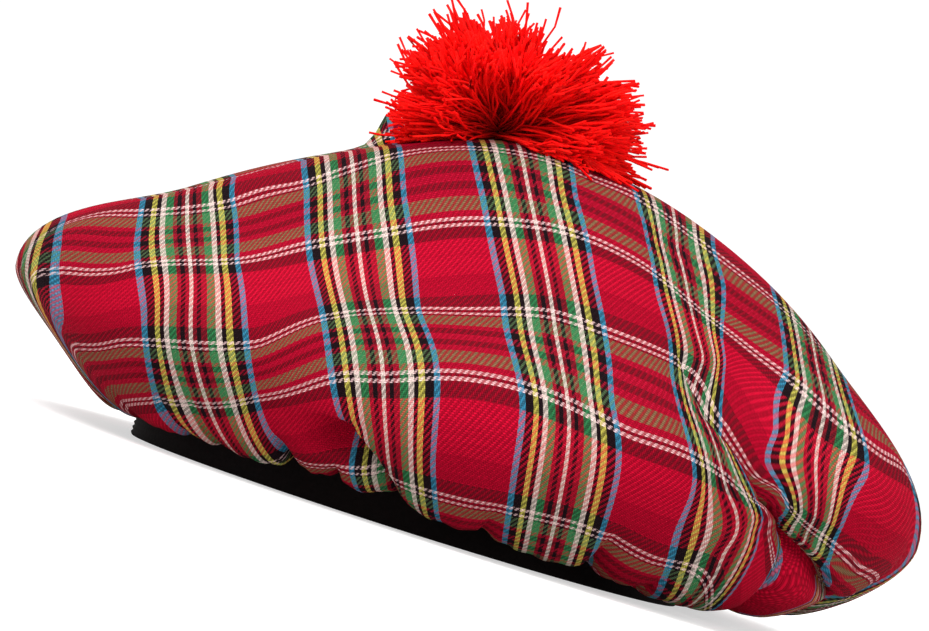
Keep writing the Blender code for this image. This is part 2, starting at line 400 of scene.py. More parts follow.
def pleated(azimuth, stations, dice):
    """The small even gathers at the seam, which fade out before the rim."""
    phase = np.radians(azimuth) * PLEATS
    for k in PLEAT_SWINGS:
        phase += PLEAT_SWING * np.sin(k * np.radians(azimuth) + dice.uniform(0, 2 * math.pi))
    fade = smooth_step((stations - PLEATS_FROM) / PLEATS_RUN)
    return PLEAT_DEPTH * np.cos(phase)[:, None] * fade


def waved(azimuth, stations, dice):
    """Wide shallow waves of the loose cloth between the middle and the rim."""
    wave = np.zeros((len(azimuth), len(stations)))
    for k in WAVE_COUNTS:
        turn = k * np.radians(azimuth)[:, None] + dice.uniform(0, 6.28) + WAVE_LEAN * stations
        wave += np.sin(turn) * np.sin(stations * dice.uniform(*WAVE_LENGTHS)) / k
    fade = smooth_step(stations / WAVES_FULL_AT) * (1 - smooth_step((stations - WAVES_UNTIL) / WAVES_RUN))
    return WAVE_DEPTH * wave * fade


print("pleats", PLEATS, "waves", len(WAVE_COUNTS))

# %% [markdown]
# ## The crown as a sheet
# The sheet is a grid of azimuths by stations, closed by one fan in the middle. It could be draped by a
# cloth solver, but the folds are then wherever the solver leaves them. Here they are placed by the
# table, and the mesh is made in code from the functions above. Solidify gives the cloth its thickness
# inwards, so the outer face keeps its measured place.

# %% Make the crown's mesh
AZIMUTHS = 430
FRONT_FINER = 0.45  # how much closer the columns stand where the camera looks
ROWS_PER_SPAN = (10, 18, 22, 32, 16, 8)

dice = np.random.default_rng(11)
even = np.arange(AZIMUTHS) * 2 * math.pi / AZIMUTHS
azimuth = np.degrees(even - FRONT_FINER * np.sin(even - 1.5 * math.pi))
stations = np.concatenate([k + np.arange(1, n + 1) / n for k, n in enumerate(ROWS_PER_SPAN)])


def crown_points(azimuth, stations):
    """The cloth's outer face with everything pushed in, in mm: (azimuths, stations, 3)."""
    depth, rolled = creased(azimuth[:, None], stations)
    form, normals = smooth_form(azimuth, stations)
    inwards = depth + pleated(azimuth, stations, dice) + waved(azimuth, stations, dice)
    points = form - inwards[..., None] * normals
    turn = np.radians(rolled)
    x, y, z = np.moveaxis(points, -1, 0)
    return np.stack([x * np.cos(turn) - y * np.sin(turn), x * np.sin(turn) + y * np.cos(turn), z], -1)


grid = crown_points(azimuth, stations)
rows = len(stations)
number = 1 + np.arange(AZIMUTHS)[:, None] * rows + np.arange(rows)
beside = np.roll(number, -1, axis=0)
fan = [(0, a, b) for a, b in zip(number[:, 0].tolist(), beside[:, 0].tolist())]
quads = np.stack([number[:, :-1], number[:, 1:], beside[:, 1:], beside[:, :-1]], -1).reshape(-1, 4)
crown_mesh = bpy.data.meshes.new("tartan_crown")
top = np.array([[0, 0, CROWN_TOP]])
points = np.concatenate([top, grid.reshape(-1, 3)]) * MM
crown_mesh.from_pydata(points.tolist(), [], fan + quads.tolist())
crown = bpy.data.objects.new("tartan_crown", crown_mesh)
bpy.context.scene.collection.objects.link(crown)
print("crown faces", len(crown_mesh.polygons))

# %% [markdown]
# ## How the check lies on the crown
# The check was woven flat, so its lines show how the flat cloth was bent. Flat cloth laid over a cap
# is nearly polar: a point keeps its direction from the middle and its distance along the cloth. Where
# the cloth slips and shears, the lines drift from that. So points of the lines were read off the photo,
# and a ray from the camera through each pixel finds its azimuth and station on the crown. A
# thin-plate spline, which is the smoothest surface near given values, adds what they ask to the polar
# lay. The result is each point's place on the flat cloth in millimetres. Warps are the lines that run
# away from the camera, wefts the ones that cross them.

# %% Places of the check's lines
CLOTH_TURN = math.radians(10)
WARP_SHIFT = 124.0
WEFT_SHIFT = -37.0
WARP_REPEAT = 51.7
WEFT_REPEAT = 68.6

# place of the line on the flat cloth in mm: points of it read off the photo, as (x, y) in its pixels
WARP_LINES = {
    -20.0: ((66.7, 218.6), (63.7, 245.2), (63.8, 298.6), (71.2, 355.0)),
    0.0: ((134.9, 245.2), (139.4, 316.4), (154.2, 411.3)),
    31.7: ((234.3, 194.8), (237.2, 260.1), (252.1, 363.9), (266.9, 429.1)),
    51.7: ((305.5, 191.9), (335.1, 414.3)),
    83.4: ((407.8, 197.8), (424.1, 313.5), (433.0, 461.7)),
    103.4: ((480.3, 197.8), (498.1, 298.6), (517.4, 405.4), (504.0, 506.2)),
    135.1: ((578.2, 197.8), (594.5, 277.9), (615.2, 405.4), (609.3, 515.1)),
    155.1: ((633.0, 191.9), (641.9, 224.5), (649.3, 257.1), (656.8, 298.6), (679.0, 399.5),
        (690.9, 476.6), (677.5, 529.9)),
    170.95: ((676, 250), (707, 360), (726, 478), (735, 507), (737, 529), (726, 550), (716, 575)),
    186.8: ((716.1, 251.2), (725.0, 283.8), (723.5, 340.1), (722.0, 372.8), (723.5, 405.4),
        (782.8, 541.8), (784.3, 562.6)),
    190.0: ((794, 560),),
    200.0: ((812, 580),),
    206.8: ((775.4, 307.5), (782.8, 369.8), (772.4, 432.1), (762.0, 464.7)),
    238.5: ((829, 563), (831, 580), (858.4, 417.2), (867.3, 476.6), (840.6, 532.9)),
    258.5: ((904, 465), (909, 550), (895, 571)),
}
WEFT_LINES = {
    0.0: ((142.3, 209.7), (231.3, 197.8), (261.0, 187.4), (296.6, 181.5), (402, 151), (463, 146),
        (586, 173), (631, 190), (663, 211), (768, 293)),
    29.0: ((29.7, 274.9), (47.4, 267.5), (89.0, 268.1), (118.6, 266.0), (142.3, 260.7), (237.2, 255.6),
        (296.6, 242.3), (385.5, 226.0), (508.5, 217.1), (618.2, 246.7), (707.2, 312.0), (748.7, 344.6),
        (799.1, 378.7), (879.2, 446.9), (902.9, 464.7)),
    68.6: ((723, 415), (743, 452), (760, 481), (787, 504), (825, 534), (862, 565), (879, 578),
        (69.7, 344.6), (118.6, 338.7), (258.0, 338.7), (314.4, 317.9), (421.1, 307.5), (550.0, 309.0),
        (668.6, 352.0), (689.4, 363.9), (707.2, 384.6)),
    97.6: ((258.0, 393.5), (344.0, 371.3), (382.6, 369.8), (456.7, 367.4), (630.1, 426.1),
        (739.8, 482.5), (760.6, 500.3)),
    118.0: ((798, 562), (812, 585), (775, 590)),
    137.2: ((464.0, 497.3), (576.7, 521.0), (656.8, 556.6)),
}
# lines that the photo doesn't show, guessed as (azimuth, station), so that the check runs on
GUESSED_WARPS = {290.2: ((-2, 3.95), (14, 3.8)), 310.2: ((0, 4.5),)}
GUESSED_WEFTS = {-39.6: ((179, 2.05), (179, 1.6))}
# stations whose lay stays polar, with the azimuths where it does: the back and the tucked-in edge
STAYS_POLAR = ((1.5, range(30, 171, 40)), (3.0, range(40, 181, 35)), (4.5, range(40, 181, 35)))
print("lines read:", len(WARP_LINES), "warps,", len(WEFT_LINES), "wefts")

# %% From a pixel of the photo to the cloth
PHOTO_WIDTH, PHOTO_HEIGHT = 929, 631
LENS_IN_PIXELS = LENS / SENSOR_WIDTH * PHOTO_WIDTH

halves = np.concatenate([np.array(fan), quads[:, :3], quads[:, [0, 2, 3]]])
crown_tree = BVHTree.FromPolygons(points.tolist(), halves.tolist())
azimuth_of = np.concatenate([[0], np.repeat(azimuth, rows)])
station_of = np.concatenate([[MIDDLE], np.tile(stations, AZIMUTHS)])


def seen_at_pixel(x, y):
    """(azimuth, station) of the cloth at a pixel, rounded to what can be read: a degree, a hundredth."""
    through = Vector((x - PHOTO_WIDTH / 2, PHOTO_HEIGHT / 2 - y, -LENS_IN_PIXELS))
    spot, _, half, _ = crown_tree.ray_cast(EYE, camera.rotation_quaternion @ through)
    ends = halves[half]
    weights = np.array(poly_3d_calc([Vector(points[k]) for k in ends], spot))
    around = azimuth_of[ends[0]] + weights @ degrees_past(azimuth_of[ends], azimuth_of[ends[0]])
    return round(degrees_past(around, 0)), round(weights @ station_of[ends], 2)


print("the first weft starts at", seen_at_pixel(*WEFT_LINES[0.0][0]))

# %% The polar lay, and the spline that bends it
HIDDEN_CLOTH = 45.0  # how far apart the spline holds the cloth on the two sides of the hidden fold
FINE_STATIONS = 121
SPRING_SCALE = 100
SLACK = 0.003


def past(edge, azimuth, station):
    """How many degrees beyond an edge, given as (azimuth, station) pairs, each point lies."""
    around, up = zip(*edge)
    return degrees_past(azimuth, np.interp(station, up, around))


def polar_lay(azimuth, station):
    """Flat (warp, weft) places of points given by azimuth and station, with the cloth laid straight.

    The cloth between the two puffs' edges comes out from under the right one, so it isn't next to the
    cloth that it seems to meet. The third column sets it apart: only the spline's distances read it.
    """
    fine = np.linspace(0, SEAM, FINE_STATIONS)
    _, rolled = creased(azimuth, station)
    runs, _ = smooth_form(azimuth + rolled, fine)
    steps = np.linalg.norm(np.diff(runs, axis=1), axis=2)
    lengths = np.concatenate([np.zeros((len(azimuth), 1)), np.cumsum(steps, axis=1)], 1)
    reach = np.array([np.interp(s, fine, run) for s, run in zip(station, lengths)])
    turn = np.radians(azimuth + rolled) - CLOTH_TURN
    # 1 between the two edges from station 3.12 down, and smoothly 0 everywhere else
    past_left, past_right = (past(edge, azimuth, station) for edge in (LEFT_PUFF_EDGE, RIGHT_PUFF_EDGE))
    between = smooth_step((past_left + 2) / 3) * smooth_step((3 - past_right) / 2)
    hidden = HIDDEN_CLOTH * between * smooth_step((station - 3.12) / 0.15)
    return np.stack([reach * np.cos(turn) + WARP_SHIFT, WEFT_SHIFT - reach * np.sin(turn), hidden], -1)


def plate(places, nodes):
    """The thin-plate spline's terms at places, for springs at nodes."""
    gap = np.linalg.norm(places[:, None] - nodes[None], axis=2) / SPRING_SCALE
    bent = np.where(gap > 0, gap**2 * np.log(np.maximum(gap, 1e-9)), 0)
    return np.concatenate([bent, np.ones((len(places), 1)), places[:, :2] / SPRING_SCALE], 1)


def drift(lines, guessed, column, places):
    """What the lines add to one column of the polar lay, at each place of it."""
    noted = [(*seen_at_pixel(*pixel), value) for value, pixels in lines.items() for pixel in pixels]
    noted += [(a, s, value) for value, spots in guessed.items() for a, s in spots]
    still = [(a, s) for s, around in STAYS_POLAR for a in around]
    around, up = zip(*(spot[:2] for spot in noted + still))
    nodes = polar_lay(np.array(around, float), np.array(up, float))
    count = len(nodes)
    wanted = np.zeros(count + 3)
    wanted[: len(noted)] = np.array([n[2] for n in noted]) - nodes[: len(noted), column]
    terms = plate(nodes, nodes)
    system = np.zeros((count + 3, count + 3))
    system[:count] = terms
    system[count:, :count] = terms[:, count:].T
    system[:count, :count] += SLACK * np.eye(count)
    return plate(places, nodes) @ np.linalg.solve(system, wanted)


lay = polar_lay(np.repeat(azimuth, rows), np.tile(stations, AZIMUTHS))
middle = np.array([[WARP_SHIFT, WEFT_SHIFT, 0]])
lay = np.concatenate([middle, lay])
by_warps = drift(WARP_LINES, GUESSED_WARPS, 0, lay)
by_wefts = drift(WEFT_LINES, GUESSED_WEFTS, 1, lay)
lay = lay[:, :2] + np.stack([by_warps, by_wefts], -1)
print("flat cloth spans", np.ptp(lay, axis=0).round(), "mm")

# %% Give the crown its lay as a UV map, in millimetres, and its thickness
lay_map = crown_mesh.uv_layers.new(name="cloth")
corners = np.zeros(len(crown_mesh.loops), int)
crown_mesh.loops.foreach_get("vertex_index", corners)
lay_map.data.foreach_set("uv", lay[corners].astype(np.float32).ravel())

deselect_all()
crown.select_set(True)
bpy.context.view_layer.objects.active = crown
bpy.ops.object.shade_smooth()
thickness = crown.modifiers.new("cloth", "SOLIDIFY")
thickness.thickness = CLOTH * MM
thickness.offset = -1
bpy.ops.object.modifier_apply(modifier=thickness.name)
print("crown triangles", sum(len(p.vertices) - 2 for p in crown.data.polygons))

# %% [markdown]
# ## The weave
# The cloth is a two-and-two twill: each thread passes over two and under two, one step further along in
# every row, which draws the slanting ribs. A shader can weave it: number the warp and weft threads by
# their place on the flat cloth, and the sum of the two numbers, counted in fours, says which one is on
# top. The group below also gives the height of the thread on top, for the bump and for a painted shade
# between the threads. Tartan keeps each thread one colour, so each set of threads has its own stripes,
# and the colours mix where they cross.

# %% Helpers for nodes and materials


class Nodes:
    """Short words for adding and joining the nodes of one tree."""

    def __init__(self, tree):
        self.tree = tree

    def add(self, kind, **settings):
        node = self.tree.nodes.new(kind)
        for name, value in settings.items():
            setattr(node, name, value)
        return node

    def feed(self, socket, value):
        if isinstance(value, bpy.types.NodeSocket):
            self.tree.links.new(value, socket)
        else:
            socket.default_value = value

    def maths(self, operation, *values):
        node = self.add("ShaderNodeMath", operation=operation)
        for socket, value in zip(node.inputs, values):
            self.feed(socket, value)
        return node.outputs[0]

    def scale(self, colour, factor):
        node = self.add("ShaderNodeVectorMath", operation="SCALE")
        self.feed(node.inputs[0], colour)
        self.feed(node.inputs["Scale"], factor)
        return node.outputs[0]

    def mix(self, factor, low, high):
        node = self.add("ShaderNodeMix", data_type="RGBA")
        self.feed(node.inputs[0], factor)
        self.feed(node.inputs[6], low)
        self.feed(node.inputs[7], high)
        return node.outputs[2]

    def stripes(self, place, colours):
        """A ramp whose colours keep sharp edges; colours are (start, rgba) from 0 to 1."""
        ramp = self.add("ShaderNodeValToRGB")
        ramp.color_ramp.interpolation = "CONSTANT"
        stops = ramp.color_ramp.elements
        while len(stops) < len(colours):
            stops.new(0.5)
        for k, (start, _) in enumerate(colours):
            stops[k].position = start
        for k, (_, rgba) in enumerate(colours):
            stops[k].color = rgba
        self.feed(ramp.inputs[0], place)
        return ramp.outputs

    def speckle(self, scale):
        """Fine noise that keeps its place on the piece."""
        noise = self.add("ShaderNodeTexNoise")
        noise.inputs["Scale"].default_value = scale
        self.feed(noise.inputs["Vector"], self.add("ShaderNodeTexCoord").outputs["Object"])
        return noise.outputs[0]

    def bump(self, height, strength, distance):
        node = self.add("ShaderNodeBump")
        node.inputs["Strength"].default_value = strength
        node.inputs["Distance"].default_value = distance
        self.feed(node.inputs["Height"], height)
        return node.outputs[0]


def new_material(name, roughness, specular):
    """A material, short words for its nodes, and its shader."""
    material = bpy.data.materials.new(name)
    material.use_nodes = True
    shader = material.node_tree.nodes["Principled BSDF"]
    shader.inputs["Roughness"].default_value = roughness
    shader.inputs["Specular IOR Level"].default_value = specular
    return material, Nodes(material.node_tree), shader


def new_group(name, inputs, outputs):
    """A node group of plain numbers, short words for its nodes, and its input and output nodes."""
    group = bpy.data.node_groups.new(name, "ShaderNodeTree")
    for label in inputs:
        group.interface.new_socket(label, in_out="INPUT", socket_type="NodeSocketFloat")
    for label in outputs:
        group.interface.new_socket(label, in_out="OUTPUT", socket_type="NodeSocketFloat")
    nodes = Nodes(group)
    return group, nodes, nodes.add("NodeGroupInput"), nodes.add("NodeGroupOutput")


print("helpers ready for", len(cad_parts), "finishes")

# %% The weave group
OVER, REPEAT = 2, 4  # threads that a thread passes over, and threads in the twill's repeat

weave, w, given, gives = new_group(
    "twill weave",
    ("Warp place", "Weft place", "Warp pitch", "Weft pitch"),
    ("Warp on top", "Height", "Warp thread", "Weft thread"),
)
warp_run = w.maths("DIVIDE", given.outputs["Warp place"], given.outputs["Warp pitch"])
weft_run = w.maths("DIVIDE", given.outputs["Weft place"], given.outputs["Weft pitch"])
warp_number = w.maths("FLOOR", warp_run)
weft_number = w.maths("FLOOR", weft_run)
step = w.maths("FLOORED_MODULO", w.maths("ADD", warp_number, weft_number), REPEAT)
warp_on_top = w.maths("LESS_THAN", step, OVER - 0.5)


def bulge(run):
    """Half a sine, from 0 at one edge of a thread or float to 1 at its middle."""
    return w.maths("SINE", w.maths("MULTIPLY", w.maths("FRACT", run), math.pi))


def float_part(number, run, shift):
    """How far along the two threads that it passes over a thread is, from 0 to 1."""
    counted = w.maths("FLOORED_MODULO", w.maths("ADD", number, run), REPEAT)
    return w.maths("DIVIDE", w.maths("SUBTRACT", counted, shift), OVER)


warp_float = bulge(float_part(warp_number, weft_run, 0))
weft_float = bulge(float_part(weft_number, warp_run, OVER))
warp_height = w.maths("MULTIPLY", bulge(warp_run), w.maths("SQRT", warp_float))
weft_height = w.maths("MULTIPLY", bulge(weft_run), w.maths("SQRT", weft_float))
on_warp = w.maths("MULTIPLY", warp_on_top, warp_height)
on_weft = w.maths("MULTIPLY", w.maths("SUBTRACT", 1, warp_on_top), weft_height)
w.feed(gives.inputs["Warp on top"], warp_on_top)
w.feed(gives.inputs["Height"], w.maths("ADD", on_warp, on_weft))
w.feed(gives.inputs["Warp thread"], warp_number)
w.feed(gives.inputs["Weft thread"], weft_number)
print("weave group nodes", len(weave.nodes))

# %% [markdown]
# ## The tartan's stripes
# A tartan is written down as counts of threads, the sett. This one has a strong red ground. The warps
# carry a group of blue, yellow, white and green lines about a white middle; the wefts carry two pairs of
# white lines with green, black and red bands between them. The counts below were read off the cloth,
# and two ramps with sharp edges turn them into colours. Where two threads cross, the one on top shows
# most, but the other shows beside it. So each warp colour has a cover, the share of the face that it
# takes on average, and the ramp of the warps carries it in its alpha.

# %% Sett of the warps and of the wefts
# the warps' red is darker and the wefts' red lighter than the ground's own red: painted light and shade
# on the twill's ribs
RED = (0.36, 0.003, 0.018)
GROUP_RED = (0.26, 0.010, 0.020)
WEFT_RED_AND_RIB_LIGHT = (0.60, 0.004, 0.030)
CRIMSON = (0.40, 0.002, 0.020)
MAROON = (0.38, 0.004, 0.025)
BLACK = (0.012, 0.006, 0.008)
WHITE = (0.78, 0.64, 0.56)
WEFT_WHITE = (0.82, 0.54, 0.54)
GREEN = (0.035, 0.23, 0.08)
WEFT_GREEN = (0.09, 0.16, 0.07)
BLUE = (0.04, 0.26, 0.42)
YELLOW = (0.64, 0.57, 0.10)
# share of the face that the warps cover: the black ones stand closer than the others, the yellow apart
COVER = 0.6
COVERS = {BLACK: 0.72, YELLOW: 0.5}

WARP_GROUP = (
    (BLUE, 4), (BLACK, 6), (YELLOW, 4), (BLACK, 3), (WHITE, 4), (GREEN, 6), (GROUP_RED, 3), (BLACK, 3),
    (GROUP_RED, 3), (WHITE, 3), (GROUP_RED, 3), (BLACK, 3), (GROUP_RED, 4), (GREEN, 6), (WHITE, 4),
    (BLACK, 3), (YELLOW, 4), (BLACK, 6), (BLUE, 4), (RED, 48),
)
WEFT_GROUP = (
    (WEFT_WHITE, 2), (BLACK, 2), (WEFT_WHITE, 2), (BLACK, 1), (WEFT_GREEN, 8), (MAROON, 3), (BLACK, 4),
    (MAROON, 5), (BLACK, 4), (MAROON, 4), (WEFT_GREEN, 8), (MAROON, 4), (WEFT_WHITE, 2), (BLACK, 2),
    (WEFT_WHITE, 2), (BLACK, 8), (WEFT_RED_AND_RIB_LIGHT, 25), (CRIMSON, 15), (BLACK, 9),
)


def stripe_starts(group):
    """The sett as (start, rgb and cover), with its whole run of threads scaled to 0 to 1."""
    total = sum(count for _, count in group)
    starts, run = [], 0
    for colour, count in group:
        starts.append((run / total, (*colour, COVERS.get(colour, COVER))))
        run += count
    return starts


print("threads in the repeat:", sum(n for _, n in WARP_GROUP), "by", sum(n for _, n in WEFT_GROUP))

# %% Material of the tartan cloth: its threads and colours
WARP_PITCH = 0.42
WEFT_PITCH = 0.6
TOP_SHARE = 0.25  # how much more of the face a thread takes where it is on top

tartan, t, shader = new_material("tartan cloth", roughness=0.7, specular=0.01)
lay_node = t.add("ShaderNodeUVMap", uv_map="cloth")
split = t.add("ShaderNodeSeparateXYZ")
t.feed(split.inputs[0], lay_node.outputs[0])
warp_place, weft_place = split.outputs[0], split.outputs[1]

woven = t.add("ShaderNodeGroup", node_tree=weave)
t.feed(woven.inputs["Warp place"], warp_place)
t.feed(woven.inputs["Weft place"], weft_place)
t.feed(woven.inputs["Warp pitch"], WARP_PITCH)
t.feed(woven.inputs["Weft pitch"], WEFT_PITCH)
warp_on_top, height = woven.outputs["Warp on top"], woven.outputs["Height"]

warp_part = t.maths("FRACT", t.maths("DIVIDE", warp_place, WARP_REPEAT))
weft_part = t.maths("FRACT", t.maths("DIVIDE", weft_place, WEFT_REPEAT))
warp_colour, warp_cover = t.stripes(warp_part, stripe_starts(WARP_GROUP))
weft_colour, _ = t.stripes(weft_part, stripe_starts(WEFT_GROUP))
more = t.maths("MULTIPLY_ADD", warp_on_top, 2 * TOP_SHARE, -TOP_SHARE)
cloth_colour = t.mix(t.maths("ADD", more, warp_cover), weft_colour, warp_colour)
print("tartan nodes so far", len(tartan.node_tree.nodes))

# %% Material of the tartan cloth: its painted shade, its threads' own tone and its bump
# factor and base of the shade: painted shade in the gaps between threads, by the thread's height;
# the thread's own tone, which varies at random; painted light and shade on the twill's ribs, by warp or
# weft on top
PAINTED_GAP_SHADE = (0.50, 0.48)
BY_THREAD = (0.25, 0.9)
PAINTED_RIB_LIGHT_AND_SHADE = (-0.16, 1.08)

thread_noise = t.add("ShaderNodeTexWhiteNoise", noise_dimensions="2D")
numbers = t.add("ShaderNodeCombineXYZ")
t.feed(numbers.inputs[0], t.maths("MULTIPLY", woven.outputs["Warp thread"], warp_on_top))
t.feed(numbers.inputs[1], woven.outputs["Weft thread"])
t.feed(thread_noise.inputs["Vector"], numbers.outputs[0])
# painted shade, darker in the gaps between the threads, times each thread's own tone
shade = t.maths("MULTIPLY_ADD", height, *PAINTED_GAP_SHADE)
by_thread = t.maths("MULTIPLY_ADD", thread_noise.outputs["Value"], *BY_THREAD)
# painted light and shade on the twill's ribs, by which thread is on top
painted_rib_light_and_shade = t.maths("MULTIPLY_ADD", warp_on_top, *PAINTED_RIB_LIGHT_AND_SHADE)
shade = t.maths("MULTIPLY", t.maths("MULTIPLY", shade, by_thread), painted_rib_light_and_shade)
t.feed(shader.inputs["Base Color"], t.scale(cloth_colour, shade))
t.feed(shader.inputs["Normal"], t.bump(height, strength=0.6, distance=0.00025))
crown.data.materials.append(tartan)

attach(crown, "root")
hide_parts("crown")
print("tartan nodes", len(tartan.node_tree.nodes))

# %% [markdown]
# ## The elastic head band
# Woven elastic has a rib along every cord of rubber, and the ribs run round the head parallel to its
# edges. A tube without ends is cut into many rows, every second row is drawn a little inwards, and
# Solidify gives it its wall. Its black is matt, with the fine speckle of the knit over the cords.

# %% Model the ribbed elastic
RIBS = 17
RIB_DEPTH = 0.5
BAND_SIDES = 200

deselect_all()
bpy.ops.mesh.primitive_cylinder_add(
    vertices=BAND_SIDES,
    radius=(BAND_RADIUS + BAND_WALL / 2) * MM,
    depth=BAND_HEIGHT * MM,
    end_fill_type="NOTHING",
    location=(BAND_X * MM, 0, BAND_HEIGHT / 2 * MM),
)
band = bpy.context.object
band.name = "ribbed_elastic"
bpy.ops.object.transform_apply(location=True)
select_edges(band, lambda a, b: abs(a.z - b.z) > BAND_HEIGHT / 2 * MM)
bpy.ops.mesh.subdivide(number_cuts=2 * RIBS - 1)
bpy.ops.mesh.select_mode(type="VERT")
bpy.ops.mesh.select_all(action="DESELECT")
bpy.ops.object.mode_set(mode="OBJECT")
for vertex in band.data.vertices:
    row = round(vertex.co.z / MM / BAND_HEIGHT * 2 * RIBS)
    vertex.select = row % 2 == 0
bpy.ops.object.mode_set(mode="EDIT")
narrower = 1 - RIB_DEPTH / BAND_RADIUS
bpy.ops.transform.resize(value=(narrower, narrower, 1), center_override=(BAND_X * MM, 0, 0))
bpy.ops.object.mode_set(mode="OBJECT")
wall = band.modifiers.new("wall", "SOLIDIFY")
wall.thickness = (BAND_WALL - RIB_DEPTH) * MM
wall.offset = -1
bpy.ops.object.modifier_apply(modifier=wall.name)
bpy.ops.object.shade_smooth()
print("elastic faces", len(band.data.polygons))

# %% Material of the black elastic
ELASTIC_DARK = (0.002, 0.001, 0.001, 1)
ELASTIC_LIGHT = (0.010, 0.006, 0.006, 1)
KNIT_SCALE = 900

elastic, e, shader = new_material("black elastic", roughness=0.7, specular=0.08)
knit = e.speckle(KNIT_SCALE)
e.feed(shader.inputs["Base Color"], e.mix(knit, ELASTIC_DARK, ELASTIC_LIGHT))
e.feed(shader.inputs["Normal"], e.bump(knit, strength=0.4, distance=0.0003))
band.data.materials.clear()
band.data.materials.append(elastic)
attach(band, "root")
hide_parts("head_band")
print("elastic nodes", len(elastic.node_tree.nodes))

# %% [markdown]
# ## The pompom
# A pompom is a bundle of yarn tied hard round its middle and cut at both ends, so that the yarns stand
# out from the tie like a fan. Gravity bends the low ones over, and here they lie on the cloth. Each
# yarn is the same thin tube with a few rings, laid along its own curved path. The yarns lean to one
# another in locks, their ends stray, and the scissors left some sides of the ball longer than others.
# A hollow is left where the tie is, and the yarns' colour is darkened towards their roots, a painted
# shade down in it.

# %% Ways and lengths of the yarns
YARNS = 4300
LOCKS = 130
BALL_SHAPE = (1, 0.8, 1)
LOWEST_WAY = -0.4
HOLLOW_WAY = np.array([-0.1, -0.97, -0.2])
HOLLOW_EDGE = (0.5, 0.9)  # how near HOLLOW_WAY a yarn may point, as a cosine, drawn for each yarn
YARN_LENGTH = 36.5
UNEVENNESS = (0.95, 0.04)  # mean and spread of the lengths
STRAY_SHARE = 0.04
STRAY_EXTRA = 0.22
SHORTEST, LONGEST = 0.75, 1.3
# how long the ball was left, as a share of YARN_LENGTH: degrees from +X over +Z, share
TRIM = (
    (-60, 0.85), (-30, 0.88), (-10, 0.96), (0, 1.04), (15, 1.12), (35, 1.15), (50, 1.02), (60, 0.83),
    (80, 0.79), (90, 0.81), (100, 0.70), (110, 0.78), (125, 0.92), (160, 0.90), (175, 0.80), (190, 0.72),
    (240, 0.72),
)
TRIM_FROM = -60

dice = np.random.default_rng(5)


def ways_out(count):
    """Directions spread over all of a ball but its underside and the hollow at the tie."""
    found = []
    while len(found) < count:
        way = dice.normal(size=3) * BALL_SHAPE
        way /= np.linalg.norm(way)
        if way[2] > LOWEST_WAY and way @ HOLLOW_WAY < dice.uniform(*HOLLOW_EDGE):
            found.append(way)
    return np.array(found)


locks = ways_out(LOCKS)
ways = ways_out(YARNS)
nearest = np.argmax(ways @ locks.T, axis=1)
spread = dice.normal(*UNEVENNESS, YARNS) + STRAY_EXTRA * (dice.uniform(size=YARNS) < STRAY_SHARE)
seen_at = (np.degrees(np.arctan2(ways[:, 2], ways[:, 0])) - TRIM_FROM) % 360 + TRIM_FROM
trimmed = np.interp(seen_at, *zip(*TRIM))
sideways = np.hypot(ways[:, 0], ways[:, 2])
lengths = YARN_LENGTH * spread.clip(SHORTEST, LONGEST) * (1 + (trimmed - 1) * sideways)
print("yarns from", lengths.min().round(1), "to", lengths.max().round(1), "mm")

# %% Curve the yarns
PATH_POINTS = 8
TIE = np.array([-14.0, -6.0, 116.6])
TIE_RADIUS = 2
ROOT_SPREAD = (2.4, 1.2, 1.6)  # how far the yarns start from the middle of the tie
LEAN = 0.55  # how far the ends have turned to the middle of their lock
# how often a yarn swings along its length, and how far in mm
LOCK_SWING = (3.5, 1.8)
WIDE_SWING = (4.5, 1.7)
FINE_SWING = (10, 0.6)
DROOP = (1, 6)
part = np.linspace(0, 1, PATH_POINTS)


def swung(count, often, size):
    """Smooth sideways wanderings that grow towards the cut end: (count, PATH_POINTS, 3) in mm."""
    start = dice.uniform(0, 6.28, (count, 1, 3))
    reach = dice.normal(0, size, (count, 1, 3))
    return reach * (np.sin(often * part[None, :, None] + start) - np.sin(start)) * part[None, :, None]


gathered = LEAN * part[None, :, None]
toward = ways[:, None] * (1 - gathered) + locks[nearest][:, None] * gathered
toward /= np.linalg.norm(toward, axis=2)[..., None]
paths = TIE + toward * (TIE_RADIUS + (lengths[:, None] - TIE_RADIUS) * part)[..., None]
roots = np.random.default_rng(6).normal(size=(YARNS, 1, 3)) * ROOT_SPREAD
paths += roots * (1 - part[None, :, None])
paths += swung(LOCKS, *LOCK_SWING)[nearest] + swung(YARNS, *WIDE_SWING) + swung(YARNS, *FINE_SWING)
droop = dice.uniform(*DROOP, YARNS) * (0.6 + 0.4 * ways[:, 0])
paths[..., 2] -= droop[:, None] * part**2 * (1 - ways[:, None, 2].clip(0, 1))
print("paths", paths.shape)

# %% Lay the low yarns on the cloth
CLEAR = 0.5
HEAPED = 1.2
HIGH_ABOVE = 0.3
DOWN = Vector((0, 0, -1))

cloth_tree = BVHTree.FromObject(crown, bpy.context.evaluated_depsgraph_get())
lifted = 0
for path in paths:
    over = dice.uniform(0, HEAPED)
    for point in path:
        hit = cloth_tree.ray_cast(Vector((point[0] * MM, point[1] * MM, HIGH_ABOVE)), DOWN)[0]
        if hit is not None and point[2] < hit.z / MM + CLEAR:
            point[2] = hit.z / MM + CLEAR + over
            lifted += 1
print("points lifted on to the cloth:", lifted)

# %% Model one yarn end
YARN_SIDES = 3

